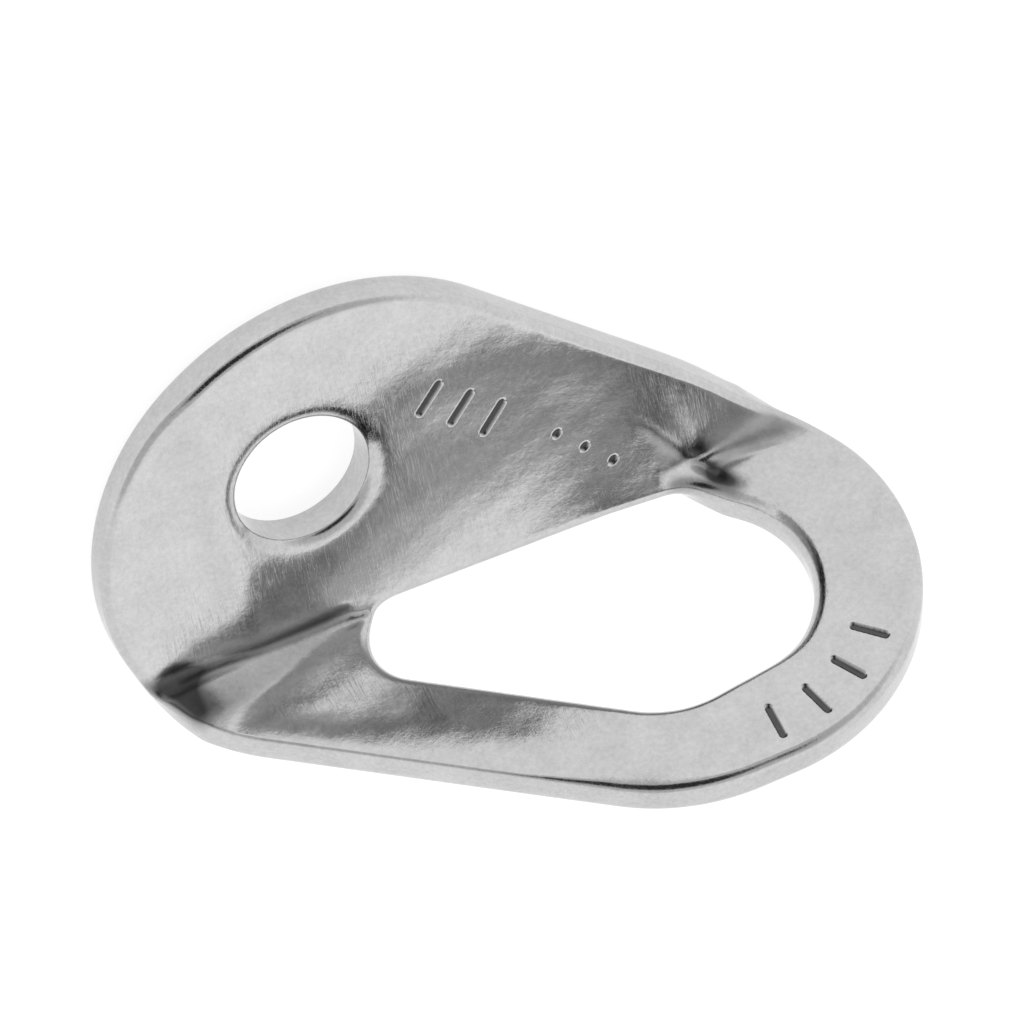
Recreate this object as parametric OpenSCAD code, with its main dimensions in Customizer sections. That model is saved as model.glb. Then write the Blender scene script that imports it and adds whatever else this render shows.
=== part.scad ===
// Bolt hanger: one stamped plate, folded along a diagonal line into two legs.
// The mounting leg lies flat against the wall or deck and has the bolt hole.
// The eye leg stands up from it and has the large eye for a shackle or carabiner.
//
// Frame: the origin is on the bolt hole's axis at the back face, which is Z = 0.
// +Z points out of the mounting face. The fold runs along X, and the eye leg rises on the +Y side.
// Outlines are drawn on the flat blank: X and Y are the frame's up to the fold, and past it
// Y goes on up the eye leg, counted from the inside crease.

/* [Plate] */
// Thickness of the plate
plate_t = 3.2; // [2.5:0.1:4]
// Angle that the eye leg is folded up from the mounting leg, in degrees
fold_angle = 73; // [60:1:90]
// Inside radius of the fold
fold_r = 2; // [1.25:0.25:2.5]
// Distance from the bolt hole's axis to the inside crease of the fold
fold_y = 13.75; // [13:0.25:14.5]

/* [Bolt end] */
// Diameter of the bolt hole, a clearance hole for an M10 bolt
bore_d = 10.5; // [8.5:0.1:12.5]
// Depth of the broken edge around the hole on the front face
bore_break = 0.4; // [0.2:0.1:0.8]
// Radius of the bolt end's outline
bolt_end_r = 19; // [18:0.5:20]
// Centre of the bolt end's outline, in X
bolt_end_x = -2.5; // [-4:0.5:0]
// Centre of the bolt end's outline, in Y
bolt_end_y = 5; // [3:0.5:6]

/* [Eye end] */
// Radius of the eye end's outline
eye_end_r = 16.1; // [15.5:0.1:17]
// Centre of the eye end's outline, in X
eye_end_x = -24.3; // [-26:0.1:-23]
// Centre of the eye end's outline, in Y on the flat blank
eye_end_y = 23.1; // [22:0.1:24]
// Radius of the shoulder, which fills the outline out between the far arm and the eye end
shoulder_r = 17.1; // [16:0.1:17.5]
// Centre of the shoulder, in X
shoulder_x = -21.5; // [-22:0.1:-20]
// Centre of the shoulder, in Y on the flat blank
shoulder_y = 22; // [21:0.1:22.5]

/* [Eye] */
// Radius of the eye's round end
eye_r = 8; // [7:0.1:8.5]
// Centre of the eye's round end, in X
eye_x = -24.3; // [-25:0.1:-23]
// Centre of the eye's round end, in Y on the flat blank
eye_y = 23.6; // [23:0.1:24]
// Radius of the eye's crown, beside its round end
crown_r = 8.4; // [7:0.1:8.8]
// Centre of the eye's crown, in X
crown_x = -20.4; // [-21:0.1:-18]
// Centre of the eye's crown, in Y on the flat blank
crown_y = 23.5; // [23:0.1:24]
// Radius of the eye's narrow end, close to the fold
heel_r = 3.4; // [2.5:0.1:3.6]
// Centre of the eye's narrow end, in X
heel_x = -4.4; // [-6:0.1:-3.5]
// Centre of the eye's narrow end, in Y on the flat blank
heel_y = 17.4; // [17.2:0.1:18.5]

/* [Hidden] */

$fn = 96;
far = 100;                                     // larger than the whole part
through = 1;                                   // how far a cut runs past a face
loop_steps = 120;                              // points in an outline
fold_steps = 12;                               // steps that the outline follows round the fold
key = 0.2;                                     // how far the fold's wedge reaches into the legs
half_fold = fold_r * tan(fold_angle / 2);      // from the crease to where the fold starts
fold_start = fold_y - half_fold;               // Y where the mounting leg stops being flat
fold_end = fold_y + half_fold;                 // Y on the blank where the eye leg starts being flat

// Each outline is the tight loop round a list of discs, [x, y, radius]
blank_discs = [
    [bolt_end_x, bolt_end_y, bolt_end_r],
    [eye_end_x, eye_end_y, eye_end_r],
    [shoulder_x, shoulder_y, shoulder_r]
];
eye_discs = [
    [heel_x, heel_y, heel_r],
    [eye_x, eye_y, eye_r],
    [crown_x, crown_y, crown_r]
];

// The loop's point in direction a, which is on the rim of the disc that reaches furthest that way
function loop_point(discs, a) =
    let (reach = [for (d = discs) d.x * cos(a) + d.y * sin(a) + d[2]],
         d = discs[search(max(reach), reach)[0]])
    [d.x + d[2] * cos(a), d.y + d[2] * sin(a)];

// All of the loop's points, in order
function loop(discs) = [for (i = [0 : loop_steps - 1]) loop_point(discs, 360 * i / loop_steps)];

// The X of both places where a loop crosses the level y
function crossings(points, y) = [
    for (i = [0 : len(points) - 1])
        let (m = points[i], n = points[(i + 1) % len(points)])
        if ((m.y < y) != (n.y < y)) m.x + (n.x - m.x) * (y - m.y) / (n.y - m.y)
];

// The blank's outline from level y0 to level y1
module blank(y0, y1) {
    intersection() {
        polygon(loop(blank_discs));
        translate([-far, y0]) square([2 * far, y1 - y0]);
    }
}

// Where the point [x, y, z] of the flat blank goes when the blank is folded
function folded(x, y, z) =
    let (a = fold_angle * min(1, max(0, (y - fold_start) / (fold_end - fold_start))),
         past = y < fold_start ? y - fold_start : max(0, y - fold_end),
         r = plate_t + fold_r - z)
    [x, fold_start + r * sin(a) + past * cos(a), plate_t + fold_r - r * cos(a) + past * sin(a)];

// Puts its children, drawn on the flat blank, on the eye leg
module on_eye_leg() {
    translate([0, fold_start, plate_t + fold_r]) rotate([fold_angle, 0, 0])
        translate([0, -fold_end, -plate_t - fold_r]) children();
}

// The room on the inner side of the folded sheet in cross-section, with its corner rounded to r
module rounded_corner(r, reach) {
    circle(r = r);
    polygon([
        [-reach, -r], [0, -r], [r * sin(fold_angle), -r * cos(fold_angle)],
        [r * sin(fold_angle) + reach * cos(fold_angle), -r * cos(fold_angle) + reach * sin(fold_angle)],
        [-reach, reach * sin(fold_angle)]
    ]);
}

// The folded sheet before its outline is cut: two flat legs and a piece of tube between them
module folded_sheet() {
    translate([-far, fold_start, plate_t + fold_r]) rotate([90, 0, 90])
        linear_extrude(2 * far) difference() {
            rounded_corner(fold_r + plate_t, far);
            rounded_corner(fold_r, 2 * far);
        }
}

// A 2D shape as a prism through the whole thickness of a leg
module through_leg() {
    translate([0, 0, -through]) linear_extrude(plate_t + 2 * through) children();
}

// The blank's outline round the fold: a wedge thicker than the sheet, made of a row of sections.
// The first and last of them are keys inside the prisms of the legs.
module fold_wedge() {
    levels = [
        fold_start - key,
        for (i = [0 : fold_steps]) fold_start + (fold_end - fold_start) * i / fold_steps,
        fold_end + key
    ];
    last = len(levels) - 1;
    blank_loop = loop(blank_discs);
    points = [
        for (i = [0 : last])
            let (y = levels[i], xs = crossings(blank_loop, y), inset = (i == 0 || i == last) ? key : 0,
                 x0 = min(xs) + inset, x1 = max(xs) - inset,
                 z0 = inset - through, z1 = plate_t + through - inset)
            each [folded(x0, y, z0), folded(x1, y, z0), folded(x1, y, z1), folded(x0, y, z1)]
    ];
    walls = [
        for (i = [0 : last - 1], k = [0 : 3])
            let (a = 4 * i + k, b = 4 * i + (k + 1) % 4)
            each [[a, b, b + 4], [a, b + 4, a + 4]]
    ];
    polyhedron(points, concat([[3, 2, 1, 0]], walls, [[for (k = [0 : 3]) 4 * last + k]]));
}

// The blank's outline all the way along the folded sheet
module folded_outline() {
    through_leg() blank(-far, fold_start);
    fold_wedge();
    on_eye_leg() through_leg() blank(fold_end, far);
}

module bolt_hole() {
    bore_r = bore_d / 2;
    through_leg() circle(r = bore_r);
    translate([0, 0, plate_t - bore_break])
        cylinder(r1 = bore_r, r2 = bore_r + 2 * bore_break, h = 2 * bore_break);
}

module hanger_plate() {
    color("silver") difference() {
        intersection() {
            folded_sheet();
            folded_outline();
        }
        bolt_hole();
        on_eye_leg() through_leg() polygon(loop(eye_discs));
    }
}

hanger_plate();
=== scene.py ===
import math

import bpy
import numpy as np
from mathutils import Matrix, Vector
from mathutils.geometry import delaunay_2d_cdt


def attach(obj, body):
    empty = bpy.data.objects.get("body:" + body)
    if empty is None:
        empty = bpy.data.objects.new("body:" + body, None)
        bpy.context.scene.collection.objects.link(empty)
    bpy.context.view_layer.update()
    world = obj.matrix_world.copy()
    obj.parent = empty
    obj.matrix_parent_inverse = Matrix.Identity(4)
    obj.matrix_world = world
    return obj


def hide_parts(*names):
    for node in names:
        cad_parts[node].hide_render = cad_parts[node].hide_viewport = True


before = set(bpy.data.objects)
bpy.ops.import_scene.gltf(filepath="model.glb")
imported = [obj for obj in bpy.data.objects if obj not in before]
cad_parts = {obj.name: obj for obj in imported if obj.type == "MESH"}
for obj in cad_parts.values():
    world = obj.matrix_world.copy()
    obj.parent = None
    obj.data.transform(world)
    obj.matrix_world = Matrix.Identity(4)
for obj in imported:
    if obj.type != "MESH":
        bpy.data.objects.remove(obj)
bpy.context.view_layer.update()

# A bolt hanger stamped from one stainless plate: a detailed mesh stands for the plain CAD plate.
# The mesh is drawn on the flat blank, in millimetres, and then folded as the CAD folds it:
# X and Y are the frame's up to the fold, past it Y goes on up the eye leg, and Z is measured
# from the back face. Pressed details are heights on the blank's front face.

MM = 0.001

# ---- The plate, in millimetres, with the same driving dimensions as the CAD ----
# Each outline is the tight loop round its discs: [x, y, radius]

PLATE_T = 3.2
FOLD_ANGLE = math.radians(73)
FOLD_Y = 13.75
BORE_R = 5.25
BORE_DISCS = ((0.0, 0.0, BORE_R),)
BLANK_DISCS = ((-2.5, 5.0, 19.0), (-24.3, 23.1, 16.1), (-21.5, 22.0, 17.1))
HEEL_X = -4.4            # the eye's narrow end
ROUND_END_X = -24.3      # the eye's round end
EYE_DISCS = ((HEEL_X, 17.4, 3.4), (ROUND_END_X, 23.6, 8.0), (-20.4, 23.5, 8.4))
BLANK_LOW = (-42, -16)   # a rectangle round the whole blank
BLANK_HIGH = (18, 41)

# ---- Shape ----
# A pair named for X or Y is a fade, [where an effect is still nothing, where it is full], unless
# its comment says that it is a [middle, width].

# The inside corner of the fold, along X: how far its facet reaches before and after the sharp
# crease, and how widely it is rounded. The outside of the fold is a plain round bend.
CORNER_X = (-40.0, -36.2, -34.0, -32.0, -30.0, -3.0, 0.0, 3.8, 8.6, 12.0, 16.0)
CORNER_BEFORE = (1.2, 1.2, 0.8, 0.3, 0.1, 0.1, 0.1, 0.3, 0.7, 0.9, 0.9)
CORNER_AFTER = (1.4, 1.4, 1.2, 0.8, 0.4, 0.35, 0.4, 1.15, 2.75, 3.3, 3.3)
CORNER_ROUNDING = (1.8, 1.8, 1.5, 0.9, 0.6, 0.6, 0.8, 0.75, 0.65, 0.6, 1.0)
CORNER_SAMPLES = 9       # sections averaged over the rounding's width
CORNER_NUDGE = 0.02      # how far on a second place is taken, to find the surface's direction
OUTSIDE_RADIUS = 7.0

# The lip along the eye's near edge: where the sweep starts, and the edge's Y on the blank at the
# eye's two ends. It gives way to the crease at each end of the eye, to the plain leg higher up,
# and to the plain fold beside the eye's narrow end.
LIP_START = 2.5
LIP_NEAR_Y = 14.0
LIP_FAR_Y = 15.4
LIP_LEFT_X = (1.0, -5.0)
LIP_RIGHT_X = (-29.6, -25.1)
LIP_RIGHT_SLANT = 0.15
LIP_TOP_Y = (18.2, 16.7)
LIP_HEEL_X = (HEEL_X, HEEL_X + 3.0)
LIP_HEEL_Y = (FOLD_Y + 0.1, FOLD_Y + 1.1)

# Pressed grooves: [start, end, widths at the two, depths at the two]. The creases are what the
# fold leaves beside the eye's two ends, and the pockets lie where the creases end.
CREASES = (
    ((12.6, 12.6), (-0.6, 13.1), (0.3, 0.7), (0.03, 0.10)),
    ((-29.8, 14.8), (-34.8, 15.3), (0.45, 0.2), (0.08, 0.02)),
    ((-25.3, 8.2), (-29.9, 15.4), (0.5, 0.6), (0.02, 0.18)),
)
POCKETS = (
    ((12.6, 13.3), (12.3, 15.6), (1.5, 1.2), (0.24, 0.20)),
    ((-29.9, 15.5), (-30.7, 17.0), (0.8, 0.9), (0.16, 0.10)),
)

# The shallow hollow beside the bolt hole, as [middle, width] each way, and the one round the hole
HOLLOW_DEPTH = 0.20
HOLLOW_X = (-10.5, 7.5)
HOLLOW_Y = (1.2, 4.2)
BORE_DISH_DEPTH = 0.09
BORE_DISH_WIDTH = 2.0

# The mounting leg's rolled end: how far it falls, from which X and over what width
ROLLED_END_DEPTH = 0.55
ROLLED_END_X = 5.5
ROLLED_END_WIDTH = 3.0
ROLLED_END_Y = (FOLD_Y + 0.2, FOLD_Y - 1.8)

# How far the outline is drawn in at the fold's far end, and where, as [middle, width] each way
SHOULDER_PULL = 0.75
SHOULDER_X = (-35.5, 4.0)
SHOULDER_Y = (10.5, 5.0)

# The eye leg's curl: its slope at several heights on the blank, the direction the curl carries it
# (towards the camera, so that the outline in the photograph stays as it is), and how the long arm
# falls a little towards the fold's near end
CURL_Y = (14.0, 16.0, 17.0, 20.5, 24.0, 28.0, 31.0, 33.0, 35.0)
CURL_SLOPES = (0.0, 0.055, 0.135, 0.135, 0.145, 0.185, 0.18, 0.08, 0.0)
CURL_DIRECTION = (0.262, -0.783, 0.859)
CURL_STEPS = 600
ARM_FALL = 0.036
ARM_FALL_END = -3.0
ARM_FALL_Y = (FOLD_Y, FOLD_Y + 4.5)

# The long arm's front face rolls off towards its outer edge: over what width, and how far
ROLL_WIDTH = 3.6
ROLL_DEPTH = 0.28
ROLL_X = (-20.0, -12.0)
ROLL_Y = (15.5, 18.5)

# The slight unevenness of the face: [height, sine, sine], and each sine is [rate along X,
# rate along Y, phase, share of a slow sway along Y]
WAVES = (
    (0.020, (0.55, 0.0, 0.8, 0.9), (0.3, 0.43, 1.1, 0.0)),
    (0.006, (1.7, -0.9, 2.0, 0.0), (0.8, 1.3, 0.4, 0.0)),
    (0.0020, (3.9, 1.3, 0.0, 0.0), (-1.9, 4.3, 1.7, 0.0)),
)
SWAY_RATE = 0.21

MARK_HALF_WIDTH = 0.26
MARK_DEPTH = 0.22
MARK_WALL = 0.2          # width of a punched mark's sloping side

# The front edges' size along the plate: larger at the eye's round end, smaller on the long arm
EYE_EDGE_MORE = 0.8
EYE_EDGE_X = (-25.0, -29.0)
ARM_EDGE_LESS = 0.62
ARM_EDGE_X = (-13.0, -4.0)
ARM_EDGE_Y = (14.0, 16.0)

# Where the front is painted darker, for the material, as painted shade and residue: how dark a
# pocket and a crease are for their depth, the soft line of painted shade along the near end's
# crease, and a groove's worth of painted shade at the far end
POCKET_DARKNESS = 5.0
CREASE_DARKNESS = 3.0
NEAR_LINE_DARKNESS = 0.6
NEAR_LINE_X = (-2.0, 1.0)
NEAR_LINE_Y = 12.9
NEAR_LINE_TILT = -0.03
NEAR_LINE_WIDTH = 0.75
# The far end's groove of painted shade: [start, end, widths at the two, depths at the two]
FAR_PAINTED_SHADE = ((-26.8, 15.0), (-30.2, 16.4), (0.9, 0.9), (0.45, 0.45))

# Where the front is dull: the fold beyond the eye's far end, where the Y pair is a
# [middle, width], and the facet at the near end, with a fade at each of its sides, counted from
# the crease and from the facet's end on the eye leg
FAR_WEAR_X = (-29.5, -31.5)
FAR_WEAR_Y = (13.4, 2.4)
FACET_WEAR = 0.5
FACET_WEAR_X = (-1.0, 2.0)
FACET_WEAR_BELOW = (-1.4, -0.2)
FACET_WEAR_ABOVE = (1.2, -0.2)

# ---- Mesh ----

FRONT_STEP = 0.30        # spacing of the points on the faces and along the edges
BACK_STEP = 0.70
EDGE_STEP = 0.30
BORE_STEP = 0.24
FINE_STEP = 0.12         # spacing where there is small relief: by the marks and at the crease
FINE_BY_MARK = 0.55
FINE_CREASE_Y = (FOLD_Y - 2.0, FOLD_Y + 2.8)
EDGE_CLEARANCE = 0.6     # how near an edge the inner points may come, in steps
LOOP_ANGLES = 1441       # directions in which a loop is worked out
TEST_STEP = 0.3          # length of the straight sides that stand for a loop in a test
TEST_PARTS = 40          # a test takes its points in this many parts, to save memory
FRONT_SECTIONS = 10      # sections of a rounded front edge, and of a rounded back edge
BACK_SECTIONS = 7
WALL_SECTIONS = (0.5, 0.75)      # the wall's own sections, from its front end to its back end
HULL_TRIANGLES = 0       # what the triangulation gives: triangles over the whole convex hull
SAME_POINT = 1e-6        # points nearer than this would be one point


# ---- Shaping functions ----

def smooth(t):
    """0 below 0, 1 above 1, and a smooth step between them."""
    t = np.clip(t, 0, 1)
    return t * t * (3 - 2 * t)


def fade(value, none_at, full_at):
    """0 at one value and beyond it, 1 at the other, and a smooth step between them."""
    return smooth((value - none_at) / (full_at - none_at))


def bell(value, middle, width):
    """1 at the middle, and falling away on both sides of it."""
    return np.exp(-((value - middle) / width) ** 2)


# ---- Outlines ----

def loop_reach(discs, angles):
    """How far each disc reaches in each direction."""
    discs = np.array(discs)
    sideways = np.outer(discs[:, 0], np.cos(angles))
    upwards = np.outer(discs[:, 1], np.sin(angles))
    return sideways + upwards + discs[:, 2:]


def tight_loop(discs, step):
    """Evenly spaced points of the tight loop round discs, and the outward direction at each."""
    angles = np.linspace(0, 2 * math.pi, LOOP_ANGLES)
    furthest = np.array(discs)[loop_reach(discs, angles).argmax(0)]
    x = furthest[:, 0] + furthest[:, 2] * np.cos(angles)
    y = furthest[:, 1] + furthest[:, 2] * np.sin(angles)
    along = np.concatenate([[0], np.cumsum(np.hypot(np.diff(x), np.diff(y)))])
    count = int(round(along[-1] / step))
    where = np.arange(count) * along[-1] / count
    angle = np.interp(where, along, angles)
    points = np.stack([np.interp(where, along, x), np.interp(where, along, y)], 1)
    return points, np.stack([np.cos(angle), np.sin(angle)], 1)


def outside_by(points, discs):
    """How far each point lies outside the tight loop round discs, and below 0 inside it."""
    corners, _ = tight_loop(discs, TEST_STEP)
    sides = np.roll(corners, -1, 0) - corners
    outward = np.stack([sides[:, 1], -sides[:, 0]]) / np.hypot(sides[:, 0], sides[:, 1])
    reach = (corners.T * outward).sum(0)
    parts = np.array_split(points, TEST_PARTS)
    return np.concatenate([(part @ outward - reach).max(1) for part in parts])


def round_corner(radius_in, radius_down, sections):
    """Sections of a rounded edge, from the face to the wall: [inset from the outline, depth]."""
    turn = np.linspace(0, math.pi / 2, sections)
    return [[radius_in * (1 - math.sin(a)), radius_down * (1 - math.cos(a))] for a in turn]


def edge_profile(front_in, front_down, back):
    """A wall's sections from the front face to the back face: [inset from the outline, depth]."""
    front = round_corner(front_in, front_down, FRONT_SECTIONS)
    wall = [[0.0, front_down + share * (PLATE_T - back - front_down)] for share in WALL_SECTIONS]
    rear = round_corner(back, back, BACK_SECTIONS)
    return front + wall + [[inset, PLATE_T - depth] for inset, depth in reversed(rear)]


OUTER_PROFILE = edge_profile(front_in=0.70, front_down=0.70, back=0.90)
EYE_PROFILE = edge_profile(front_in=0.80, front_down=0.80, back=0.60)
BORE_PROFILE = edge_profile(front_in=1.15, front_down=0.50, back=0.25)


# ---- Pressed details: heights on the front face of the blank ----

def from_segment(x, y, start, end):
    """Distance of each point from a straight segment, and its place along it from 0 to 1."""
    dx, dy = end[0] - start[0], end[1] - start[1]
    t = np.clip(((x - start[0]) * dx + (y - start[1]) * dy) / (dx * dx + dy * dy), 0, 1)
    return np.hypot(x - start[0] - t * dx, y - start[1] - t * dy), t


def groove(x, y, start, end, widths, depths):
    """A pressed groove whose width and depth change evenly from its start to its end."""
    away, t = from_segment(x, y, start, end)
    width = widths[0] + (widths[1] - widths[0]) * t
    depth = depths[0] + (depths[1] - depths[0]) * t
    return depth * bell(away, 0, width)


def grooves(x, y, rows):
    """Depth of several pressed grooves together."""
    return sum(groove(x, y, *row) for row in rows)


def stroke_row(centre, along, count, pitch, length):
    """A row of parallel strokes at right angles to the direction along, in degrees."""
    a = math.radians(along)
    row = []
    for i in range(count):
        shift = (i - (count - 1) / 2) * pitch
        x = centre[0] + shift * math.cos(a)
        y = centre[1] + shift * math.sin(a)
        dx, dy = -math.sin(a) * length / 2, math.cos(a) * length / 2
        row.append(((x - dx, y - dy), (x + dx, y + dy)))
    return row


def stroke_arc(centre, radius, first, last, count, length):
    """Radial strokes, evenly spaced round an arc, from one angle to another in degrees."""
    row = []
    for angle in np.radians(np.linspace(first, last, count)):
        c, s = math.cos(angle), math.sin(angle)
        ends = (radius - length / 2, radius + length / 2)
        row.append([(centre[0] + r * c, centre[1] + r * s) for r in ends])
    return row


# Generic punched marks in place of the lettering: the two ends of each short stroke
MARKS = (
    stroke_row(centre=(-12.6, -0.2), along=136, count=3, pitch=3.0, length=2.6)
    + stroke_row(centre=(-20.9, 8.2), along=128, count=3, pitch=2.9, length=0.2)
    + stroke_arc(centre=(-24.3, 23.4), radius=12.7, first=87, last=134, count=4, length=2.4)
)


def mark_depth(x, y):
    """Depth of the punched marks."""
    depth = np.zeros_like(x)
    for start, end in MARKS:
        away, _ = from_segment(x, y, start, end)
        wall = smooth((away - MARK_HALF_WIDTH + MARK_WALL / 2) / MARK_WALL)
        depth = np.maximum(depth, MARK_DEPTH * (1 - wall))
    return depth


def edge_roll(x, y):
    """How far the long arm's front face falls off towards its outer edge."""
    inside = -outside_by(np.stack([x, y], 1), BLANK_DISCS)
    roll = np.clip((ROLL_WIDTH - inside) / ROLL_WIDTH, 0, 1) ** 2
    return ROLL_DEPTH * roll * fade(y, *ROLL_Y) * fade(x, *ROLL_X)


def dishes(x, y):
    """Depth of the mounting leg's hollows beside and round the bolt hole, and of its rolled end."""
    beside = HOLLOW_DEPTH * bell(x, *HOLLOW_X) * bell(y, *HOLLOW_Y)
    round_bore = BORE_DISH_DEPTH * fade(np.hypot(x, y), BORE_R + BORE_DISH_WIDTH, BORE_R)
    fallen = 1 - bell(np.maximum(x, ROLLED_END_X), ROLLED_END_X, ROLLED_END_WIDTH)
    return beside + round_bore + ROLLED_END_DEPTH * fallen * fade(y, *ROLLED_END_Y)


def waves(x, y):
    """The slight unevenness of a tumbled and polished plate."""
    sway = np.sin(SWAY_RATE * y)
    height = np.zeros_like(x)
    for size, *sines in WAVES:
        wave = size
        for rate_x, rate_y, phase, share in sines:
            wave = wave * np.sin(rate_x * x + rate_y * y + phase + share * sway)
        height += wave
    return height


def relief(x, y):
    """Height of the front face over the plain plate."""
    pressed = grooves(x, y, CREASES) + grooves(x, y, POCKETS) + mark_depth(x, y)
    return waves(x, y) - dishes(x, y) - edge_roll(x, y) - pressed


def painted_shade_and_residue(x, y):
    """How dark the front is painted, as painted shade and residue: from 0, and full at 1."""
    line_y = NEAR_LINE_Y + NEAR_LINE_TILT * x
    # A soft line of painted shade along the near end's crease
    near_line = NEAR_LINE_DARKNESS * fade(x, *NEAR_LINE_X) * bell(y, line_y, NEAR_LINE_WIDTH)
    # The pockets, creases and punched marks are painted darker for their depth, as painted shade
    # and residue
    pockets = POCKET_DARKNESS * grooves(x, y, POCKETS)
    creases = CREASE_DARKNESS * grooves(x, y, CREASES)
    return pockets + creases + near_line + groove(x, y, *FAR_PAINTED_SHADE) + mark_depth(x, y) / MARK_DEPTH


def fold_wear(x, y):
    """How dull the front is, from 0 to 1: most at the fold beyond the eye's far end."""
    far_end = fade(x, *FAR_WEAR_X) * bell(y, *FAR_WEAR_Y)
    below = y - FOLD_Y
    above = below - np.interp(x, CORNER_X, CORNER_AFTER)
    across = fade(below, *FACET_WEAR_BELOW) * fade(above, *FACET_WEAR_ABOVE)
    return far_end + FACET_WEAR * fade(x, *FACET_WEAR_X) * across


# ---- Folding ----

def corner_section(x, y):
    """The inner surface in cross-section with sharp corners: mounting leg, facet, eye leg."""
    before = np.interp(x, CORNER_X, CORNER_BEFORE)
    after = np.interp(x, CORNER_X, CORNER_AFTER)
    past = y - FOLD_Y
    share = np.clip((past + before) / (before + after), 0, 1)
    up_leg = np.maximum(0, past - after)
    across = np.minimum(past, -before) + share * (before + after * math.cos(FOLD_ANGLE))
    across = across + up_leg * math.cos(FOLD_ANGLE)
    return np.stack([across, (share * after + up_leg) * math.sin(FOLD_ANGLE)])


def crease_front(x, y):
    """The inner surface with its corners rounded: its place in cross-section and its outward
    direction."""
    rounding = np.interp(x, CORNER_X, CORNER_ROUNDING)
    offsets = np.linspace(-1, 1, CORNER_SAMPLES + 2)[1:-1]
    weights = (1 - offsets ** 2) / (1 - offsets ** 2).sum()
    place, ahead = (
        sum(w * corner_section(x, level + k * rounding) for k, w in zip(offsets, weights))
        for level in (y, y + CORNER_NUDGE)
    )
    direction = ahead - place
    direction = direction / np.hypot(*direction)
    return place + np.array([[FOLD_Y], [PLATE_T]]), np.stack([-direction[1], direction[0]])


def crease_back(y):
    """The outer surface round the fold."""
    half = (OUTSIDE_RADIUS - PLATE_T) * math.tan(FOLD_ANGLE / 2)
    start, end = FOLD_Y - half, FOLD_Y + half
    angle = FOLD_ANGLE * np.clip((y - start) / (end - start), 0, 1)
    past = np.where(y < start, y - start, np.maximum(0, y - end))
    across = start + OUTSIDE_RADIUS * np.sin(angle) + past * np.cos(angle)
    height = OUTSIDE_RADIUS - OUTSIDE_RADIUS * np.cos(angle) + past * np.sin(angle)
    return np.stack([across, height])


def lip_section(x, y):
    """The mounting leg swept gently up to the eye's near edge, where there is no crease: the inner
    surface's place in cross-section and its outward direction."""
    edge = np.interp(x, (ROUND_END_X, HEEL_X), (LIP_FAR_Y, LIP_NEAR_Y))
    edge_across = FOLD_Y + (edge - FOLD_Y) * math.cos(FOLD_ANGLE)
    rise = (edge - FOLD_Y) * math.sin(FOLD_ANGLE)
    along = np.maximum(0, (y - LIP_START) / (edge - LIP_START))
    slope = np.arctan2(2 * rise * along, edge_across - LIP_START)
    stretch = (edge_across - LIP_START) / (edge - LIP_START)
    across = y + np.maximum(0, y - LIP_START) * (stretch - 1)
    place = np.stack([across, PLATE_T + rise * along ** 2])
    return place, np.stack([-np.sin(slope), np.cos(slope)])


def lip_share(x, y):
    """Where the lip takes the crease's place: 1 along the eye's near edge."""
    left = fade(x, *LIP_LEFT_X)
    right = fade(x + LIP_RIGHT_SLANT * (y - FOLD_Y), *LIP_RIGHT_X)
    beside_heel = fade(x, *LIP_HEEL_X) * fade(y, *LIP_HEEL_Y)
    return left * right * fade(y, *LIP_TOP_Y) * (1 - beside_heel)


def leg_curl(x, y):
    """How far the eye leg is curled in over the mounting leg."""
    levels = np.linspace(FOLD_Y, BLANK_HIGH[1], CURL_STEPS)
    slopes = np.interp(levels, CURL_Y, CURL_SLOPES)
    heights = np.cumsum(slopes) * (levels[1] - levels[0])
    fall = ARM_FALL * np.maximum(0, x - ARM_FALL_END) * fade(y, *ARM_FALL_Y)
    return np.interp(y, levels, heights) - fall


def fold(points):
    """Folds the flat blank and presses its relief: the front face is on the inside of the fold."""
    x, y, z = points.T
    lip = lip_share(x, y)
    front, outward = crease_front(x, y)
    lip_front, lip_outward = lip_section(x, y)
    back = (1 - lip) * crease_back(y) + lip * (lip_front - PLATE_T * lip_outward)
    outward = (1 - lip) * outward + lip * lip_outward
    front = (1 - lip) * front + lip * lip_front + relief(x, y) * outward
    across, height = back + (front - back) * z / PLATE_T
    pulled = SHOULDER_PULL * bell(x, *SHOULDER_X) * bell(y, *SHOULDER_Y)
    curl = np.outer(CURL_DIRECTION, leg_curl(x, y))
    return (np.stack([x + pulled, across, height]) + curl).T


# ---- The mesh ----

def grid_points(low, high, step):
    """A triangular grid of points over a rectangle."""
    rows = np.arange(low[1], high[1], step * math.sqrt(3) / 2)
    columns = np.arange(low[0], high[0], step)
    x, y = np.meshgrid(columns, rows)
    x[1::2] += step / 2
    return np.stack([x.ravel(), y.ravel()], 1)


def outer_edge_size(points):
    """The rounded front edge's size round the outer outline: smaller along the eye's long arm."""
    x, y = points.T
    return 1 - ARM_EDGE_LESS * fade(y, *ARM_EDGE_Y) * fade(x, *ARM_EDGE_X)


def eye_edge_size(points):
    """The rounded front edge's size round the eye: larger at its round end."""
    return 1 + EYE_EDGE_MORE * fade(points[:, 0], *EYE_EDGE_X)


def even_size(points):
    """The same size all the way round."""
    return np.ones(len(points))


def on_metal(points, inset, margin):
    """Which points lie on a face with these insets of its edges, and clear of them by margin."""
    outer, eye, bore = inset
    inside = outside_by(points, BLANK_DISCS) < -(outer + margin)
    off_eye = outside_by(points, EYE_DISCS) > eye * eye_edge_size(points) + margin
    off_bore = outside_by(points, BORE_DISCS) > bore + margin
    return inside & off_eye & off_bore


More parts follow.
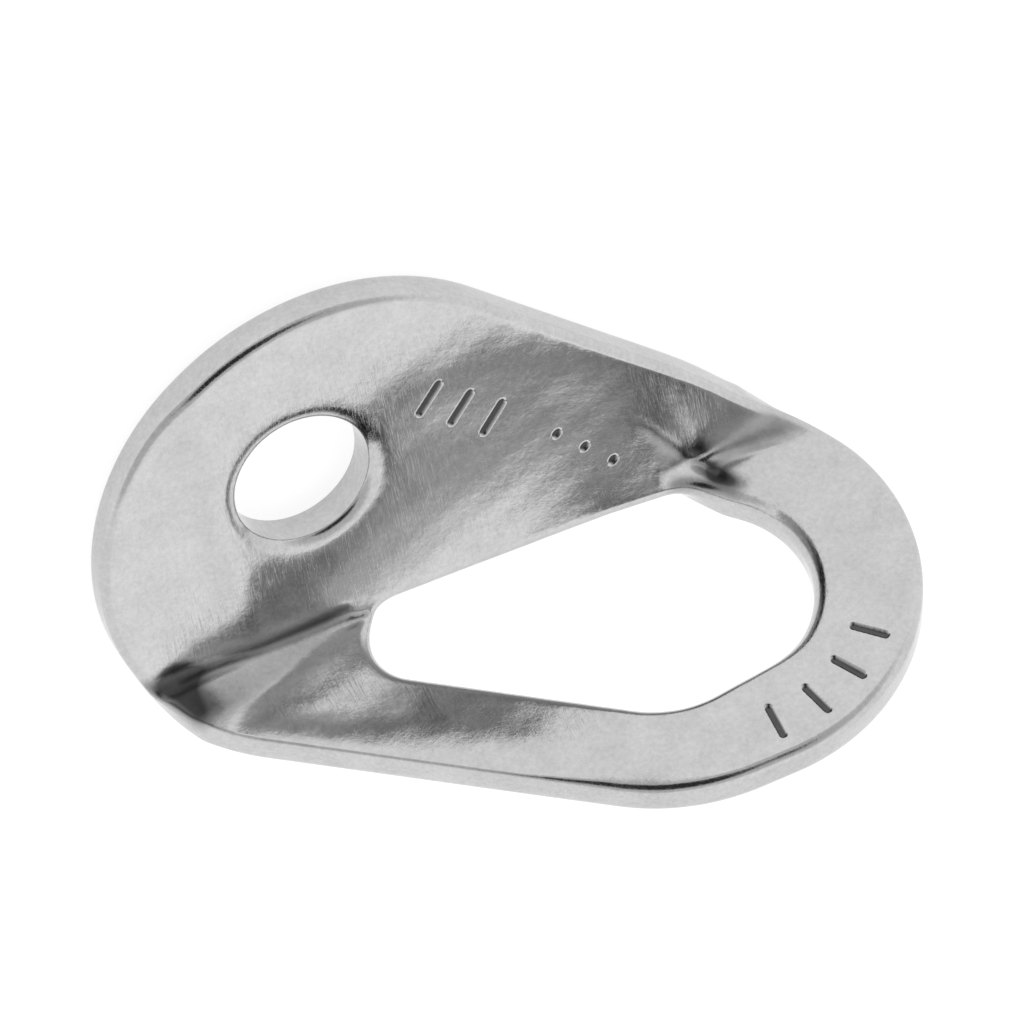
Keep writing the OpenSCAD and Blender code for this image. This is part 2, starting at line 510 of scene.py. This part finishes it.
def needs_detail(points):
    """Which points lie by a punched mark or at the crease."""
    x, y = points.T
    gaps = [from_segment(x, y, start, end)[0] for start, end in MARKS]
    by_mark = np.min(gaps, axis=0) < FINE_BY_MARK
    at_fold = (y > FINE_CREASE_Y[0]) & (y < FINE_CREASE_Y[1])
    return by_mark | at_fold & ((x > HEEL_X) | (x < ROUND_END_X))


def face_points(inset, step, front):
    """The inner points of a face: an even grid, finer on the front where there is small relief."""
    points = grid_points(BLANK_LOW, BLANK_HIGH, step)
    if front:
        fine = grid_points(BLANK_LOW, BLANK_HIGH, FINE_STEP)
        points = np.concatenate([points[~needs_detail(points)], fine[needs_detail(fine)]])
    return points[on_metal(points, inset, EDGE_CLEARANCE * step)]


def triangulate(loops, inner):
    """Triangles over a face, as indices into its loops' points followed by its inner points.
    A triangle whose corners are all on one loop lies in a hole or outside the face."""
    points = np.concatenate(loops + [inner])
    owner = np.concatenate([np.full(len(part), i) for i, part in enumerate(loops + [inner])])
    edges = []
    first = 0
    for loop in loops:
        count = len(loop)
        edges += [(first + i, first + (i + 1) % count) for i in range(count)]
        first += count
    corners = [Vector(p) for p in points]
    made = delaunay_2d_cdt(corners, edges, [], HULL_TRIANGLES, SAME_POINT)
    source = [origin[0] for origin in made[3]]
    triangles = np.array([[source[i] for i in face] for face in made[2]])
    a, b, c = owner[triangles].T
    stray = (a < len(loops)) & (a == b) & (a == c)
    return triangles[~stray]


def band(upper, lower, flip):
    """Quads between two closed rows of vertices with the same count."""
    count = len(upper)
    quads = []
    for i in range(count):
        j = (i + 1) % count
        quad = (upper[i], lower[i], lower[j], upper[j])
        quads.append(quad[::-1] if flip else quad)
    return quads


def plate_mesh():
    """Vertices on the flat blank and faces of the whole plate."""
    rims = (
        (tight_loop(BLANK_DISCS, EDGE_STEP), OUTER_PROFILE, -1, outer_edge_size),
        (tight_loop(EYE_DISCS, EDGE_STEP), EYE_PROFILE, 1, eye_edge_size),
        (tight_loop(BORE_DISCS, BORE_STEP), BORE_PROFILE, 1, even_size),
    )
    vertices, faces = [], []
    front_loops, back_loops = [], []
    total = 0
    for (outline, outward), profile, side, edge_size in rims:
        rows = []
        for number, (inset, depth) in enumerate(profile):
            size = edge_size(outline) if number < FRONT_SECTIONS else even_size(outline)
            ring = outline + side * inset * outward * size[:, None]
            vertices.append(np.column_stack([ring, PLATE_T - depth * size]))
            rows.append(np.arange(total, total + len(ring)))
            total += len(ring)
        for upper, lower in zip(rows, rows[1:]):
            faces += band(upper, lower, side > 0)
        front_loops.append(rows[0])
        back_loops.append(rows[-1])
    rim_points = np.concatenate(vertices)
    sheets = (
        (front_loops, 0, PLATE_T, FRONT_STEP),
        (back_loops, -1, 0.0, BACK_STEP),
    )
    for loops, section, level, step in sheets:
        inset = [profile[section][0] for _, profile, _, _ in rims]
        inner = face_points(inset, step, level > 0)
        index = np.concatenate(loops + [np.arange(total, total + len(inner))])
        triangles = index[triangulate([rim_points[loop, :2] for loop in loops], inner)]
        faces += [tuple(t) if level > 0 else tuple(t[::-1]) for t in triangles.tolist()]
        vertices.append(np.column_stack([inner, np.full(len(inner), level)]))
        total += len(inner)
    return np.concatenate(vertices), faces


def store(mesh, name, kind, values, field):
    """Keeps a value for each vertex, for the material."""
    attribute = mesh.attributes.new(name, kind, "POINT")
    attribute.data.foreach_set(field, np.asarray(values, np.float32).ravel())


def build_plate():
    """The folded plate as a Blender object."""
    blank, faces = plate_mesh()
    folded = fold(blank) * MM
    mesh = bpy.data.meshes.new("hanger_plate_detail")
    mesh.from_pydata(folded.tolist(), [], [tuple(int(i) for i in face) for face in faces])
    mesh.validate()
    mesh.shade_smooth()
    x, y, z = blank.T
    front = (z / PLATE_T) ** 2       # fades out over the wall, so the back has none
    store(mesh, "blank", "FLOAT_VECTOR", blank, "vector")
    # The painted shade and residue, kept for the material's base colour and roughness
    store(mesh, "painted_shade_and_residue", "FLOAT", np.clip(painted_shade_and_residue(x, y) * front, 0, 1), "value")
    store(mesh, "worn", "FLOAT", fold_wear(x, y) * front, "value")
    plate = bpy.data.objects.new("hanger_plate_detail", mesh)
    bpy.context.scene.collection.objects.link(plate)
    return plate


# ---- Materials ----

# The ranges that values are taken from. Most of a noise pattern's values lie in the first, and a
# scratch pattern shows only where it is in its own.
NOISE_RANGE = (0.3, 0.7)
MOTTLE_RANGE = (0.3, 0.75)
SCRATCH_A_RANGE = (0.56, 0.75)
SCRATCH_B_RANGE = (0.58, 0.75)
SHADE_RESIDUE_RANGE = (0.1, 0.9)
FULL_RANGE = (0.0, 1.0)

# The ranges that they are carried to: the steel's grey tone is the sum of three, times that of the
# painted shade and residue, and its roughness is the sum of four
CLOUD_TONE = (-0.03, 0.03)
MOTTLE_TONE = (0.48, 0.58)
GRAIN_TONE = (-0.025, 0.025)
SHADE_RESIDUE_TONE = (1.0, 0.17)
CLOUD_ROUGHNESS = (0.0, 0.03)
MOTTLE_ROUGHNESS = (0.02, 0.06)
SHADE_RESIDUE_ROUGHNESS = (0.0, 0.25)
WEAR_ROUGHNESS = (0.0, 0.40)

# How high the patterns stand beside each other in the bump, and how deep the bump is
SCRATCH_HEIGHT = -0.6
GRAIN_HEIGHT = 0.2
MOTTLE_HEIGHT = 1.5
BUMP_STRENGTH = 0.5
BUMP_DEPTH = 0.012 * MM

FLOOR_TONE = (0.29, 0.31)
FLOOR_ROUGHNESS = 0.9
FLOOR_GLOW = 0.84


def add(tree, kind, **inputs):
    """A new node, with its named settings and inputs set."""
    node = tree.nodes.new(kind)
    for name, value in inputs.items():
        if hasattr(node, name):
            setattr(node, name, value)
        elif hasattr(value, "is_output"):
            tree.links.new(value, node.inputs[name])
        else:
            node.inputs[name].default_value = value
    return node


def math_node(tree, operation, first, second):
    """The result of a sum, product or other operation on two values or sockets."""
    node = tree.nodes.new("ShaderNodeMath")
    node.operation = operation
    for socket, value in zip(node.inputs, (first, second)):
        if hasattr(value, "is_output"):
            tree.links.new(value, socket)
        else:
            socket.default_value = value
    return node.outputs[0]


def times(tree, first, second):
    """The product of two values."""
    return math_node(tree, "MULTIPLY", first, second)


def total_of(tree, first, *others):
    """The sum of several values."""
    for value in others:
        first = math_node(tree, "ADD", first, value)
    return first


def remap(tree, value, source, target):
    """A value from one range carried to another, and held inside it."""
    node = tree.nodes.new("ShaderNodeMapRange")
    tree.links.new(value, node.inputs["Value"])
    names = ("From Min", "From Max", "To Min", "To Max")
    for name, number in zip(names, (*source, *target)):
        node.inputs[name].default_value = number
    return node.outputs["Result"]


def turned(tree, vector, angle, stretch):
    """Coordinates turned about Z by an angle in degrees and stretched."""
    node = tree.nodes.new("ShaderNodeMapping")
    tree.links.new(vector, node.inputs["Vector"])
    node.inputs["Rotation"].default_value = (0, 0, math.radians(angle))
    node.inputs["Scale"].default_value = stretch
    return node.outputs["Vector"]


def noise(tree, vector, scale, detail, roughness):
    """A noise pattern's value."""
    inputs = {"Vector": vector, "Scale": scale, "Detail": detail, "Roughness": roughness}
    return add(tree, "ShaderNodeTexNoise", **inputs).outputs["Fac"]


def set_grey(tree, tone):
    """Gives the material's shader a grey base colour of this tone."""
    colour = add(tree, "ShaderNodeCombineColor", Red=tone, Green=tone, Blue=tone)
    tree.links.new(colour.outputs["Color"], tree.nodes["Principled BSDF"].inputs["Base Color"])


def new_material(name):
    """A new material, with its node tree and its shader."""
    material = bpy.data.materials.new(name)
    material.use_nodes = True
    return material, material.node_tree, material.node_tree.nodes["Principled BSDF"]


def stainless():
    """Tumbled and polished stainless steel: cloudy, finely scratched, and painted darker in its
    creases, pockets and punched marks, as painted shade and residue.
    """
    material, tree, shader = new_material("stainless_polished")
    blank = add(tree, "ShaderNodeAttribute", attribute_name="blank").outputs["Vector"]
    # The painted shade and residue, which darkens the base colour
    shade_residue_mask = add(tree, "ShaderNodeAttribute", attribute_name="painted_shade_and_residue").outputs["Fac"]
    worn = add(tree, "ShaderNodeAttribute", attribute_name="worn").outputs["Fac"]

    cloud = noise(tree, blank, scale=0.35, detail=4, roughness=0.6)
    mottle = noise(tree, blank, scale=2.6, detail=6, roughness=0.7)
    grain = noise(tree, blank, scale=11.0, detail=5, roughness=0.7)
    one_way = turned(tree, blank, angle=24, stretch=(14, 0.5, 14))
    other_way = turned(tree, blank, angle=-58, stretch=(18, 0.6, 18))
    scratch_a = noise(tree, one_way, scale=1.0, detail=3, roughness=0.6)
    scratch_b = noise(tree, other_way, scale=1.0, detail=3, roughness=0.6)

    tone = total_of(
        tree,
        remap(tree, cloud, NOISE_RANGE, CLOUD_TONE),
        remap(tree, mottle, NOISE_RANGE, MOTTLE_TONE),
        remap(tree, grain, NOISE_RANGE, GRAIN_TONE),
    )
    # The grey tone is darkened where shade and residue are painted
    set_grey(tree, times(tree, tone, remap(tree, shade_residue_mask, SHADE_RESIDUE_RANGE, SHADE_RESIDUE_TONE)))

    rough = total_of(
        tree,
        remap(tree, cloud, NOISE_RANGE, CLOUD_ROUGHNESS),
        remap(tree, mottle, MOTTLE_RANGE, MOTTLE_ROUGHNESS),
        remap(tree, shade_residue_mask, SHADE_RESIDUE_RANGE, SHADE_RESIDUE_ROUGHNESS),
        remap(tree, worn, FULL_RANGE, WEAR_ROUGHNESS),
    )
    tree.links.new(rough, shader.inputs["Roughness"])

    scratches = total_of(
        tree,
        remap(tree, scratch_a, SCRATCH_A_RANGE, FULL_RANGE),
        remap(tree, scratch_b, SCRATCH_B_RANGE, FULL_RANGE),
    )
    height = total_of(
        tree,
        times(tree, scratches, SCRATCH_HEIGHT),
        times(tree, grain, GRAIN_HEIGHT),
        times(tree, mottle, MOTTLE_HEIGHT),
    )
    bump = add(tree, "ShaderNodeBump", Height=height, Strength=BUMP_STRENGTH, Distance=BUMP_DEPTH)
    tree.links.new(bump.outputs["Normal"], shader.inputs["Normal"])
    shader.inputs["Metallic"].default_value = 1.0
    return material


def pale_floor():
    """A light-box floor: matt white that glows a little."""
    material, tree, shader = new_material("floor_pale")
    place = add(tree, "ShaderNodeTexCoord").outputs["Object"]
    blotch = noise(tree, place, scale=30.0, detail=3, roughness=0.5)
    set_grey(tree, remap(tree, blotch, NOISE_RANGE, FLOOR_TONE))
    shader.inputs["Roughness"].default_value = FLOOR_ROUGHNESS
    shader.inputs["Emission Color"].default_value = (1, 1, 1, 1)
    shader.inputs["Emission Strength"].default_value = FLOOR_GLOW
    return material


# ---- Camera, light and floor, in metres ----

AIM = Vector((-0.012345, 0.004388, 0.010330))
CAMERA_AZIMUTH = 18.507      # degrees round from the front
CAMERA_ELEVATION = 46.132
CAMERA_ROLL = 142.04         # nearly upside down, so that the bolt end is at the upper left
CAMERA_DISTANCE = 0.79815
CAMERA_LENS = 393.54
SENSOR_WIDTH = 36
CLIP_START = 0.05

# The light tent's brightness by the angle from the camera's direction, in degrees: white, dimmer
# round the camera, and nearly black where the camera's opening is
TENT_STOPS = ((62, 1.0), (50, 0.63), (30, 0.63), (24, 0.05), (0, 0.03))
TENT_STRENGTH = 1.1

FLOOR_HALF = 3.0
SOFT_BOX_SIZE = 0.8
SOFT_BOX_ENERGY = 0.15
SOFT_BOX_PLACE = Vector((-0.35, 0.75, 0.9))      # from the point that the camera looks at


def camera_axes():
    """The camera's right, up and back directions."""
    azimuth, elevation, roll = map(math.radians, (CAMERA_AZIMUTH, CAMERA_ELEVATION, CAMERA_ROLL))
    level = Vector((math.cos(azimuth), math.sin(azimuth), 0))
    back = Vector((
        math.sin(azimuth) * math.cos(elevation),
        -math.cos(azimuth) * math.cos(elevation),
        math.sin(elevation),
    ))
    upright = back.cross(level)
    right = level * math.cos(roll) + upright * math.sin(roll)
    return right, back.cross(right), back


def make_camera():
    """The camera at the photograph's viewing angle."""
    right, up, back = camera_axes()
    data = bpy.data.cameras.new("camera")
    data.lens = CAMERA_LENS
    data.sensor_width = SENSOR_WIDTH
    data.clip_start = CLIP_START
    camera = bpy.data.objects.new("camera", data)
    turn = Matrix((right, up, back)).transposed().to_4x4()
    camera.matrix_world = Matrix.Translation(AIM + back * CAMERA_DISTANCE) @ turn
    bpy.context.scene.collection.objects.link(camera)
    bpy.context.scene.camera = camera


def make_world():
    """A white light tent, dimmer round the camera and dark in the opening that it looks through."""
    world = bpy.data.worlds.new("light_tent")
    world.use_nodes = True
    tree = world.node_tree
    direction = add(tree, "ShaderNodeTexCoord").outputs["Generated"]
    cosine = add(tree, "ShaderNodeVectorMath", operation="DOT_PRODUCT")
    tree.links.new(direction, cosine.inputs[0])
    cosine.inputs[1].default_value = camera_axes()[2]
    ramp = tree.nodes.new("ShaderNodeValToRGB")
    place = remap(tree, cosine.outputs["Value"], (-1, 1), FULL_RANGE)
    tree.links.new(place, ramp.inputs["Fac"])
    elements = ramp.color_ramp.elements
    while len(elements) < len(TENT_STOPS):
        elements.new(0.5)
    for element, (angle, level) in zip(elements, TENT_STOPS):
        element.position = (math.cos(math.radians(angle)) + 1) / 2
        element.color = (level, level, level, 1)
    background = tree.nodes["Background"]
    tree.links.new(ramp.outputs["Color"], background.inputs["Color"])
    background.inputs["Strength"].default_value = TENT_STRENGTH
    bpy.context.scene.world = world


def make_floor():
    """The pale floor under the part."""
    mesh = bpy.data.meshes.new("floor")
    half = FLOOR_HALF
    corners = [(-half, -half, 0), (half, -half, 0), (half, half, 0), (-half, half, 0)]
    mesh.from_pydata(corners, [], [(0, 1, 2, 3)])
    mesh.materials.append(pale_floor())
    floor = bpy.data.objects.new("floor", mesh)
    bpy.context.scene.collection.objects.link(floor)


def make_light():
    """One large soft box above and behind the part."""
    data = bpy.data.lights.new("soft_box", "AREA")
    data.shape = "DISK"
    data.size = SOFT_BOX_SIZE
    data.energy = SOFT_BOX_ENERGY
    light = bpy.data.objects.new("soft_box", data)
    light.location = AIM + SOFT_BOX_PLACE
    light.rotation_euler = (light.location - AIM).to_track_quat("Z", "Y").to_euler()
    bpy.context.scene.collection.objects.link(light)


make_camera()
make_world()
make_floor()
make_light()
bpy.context.scene.view_settings.view_transform = "Standard"

plate = build_plate()
plate.data.materials.append(stainless())
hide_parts("hanger_plate")
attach(plate, "root")
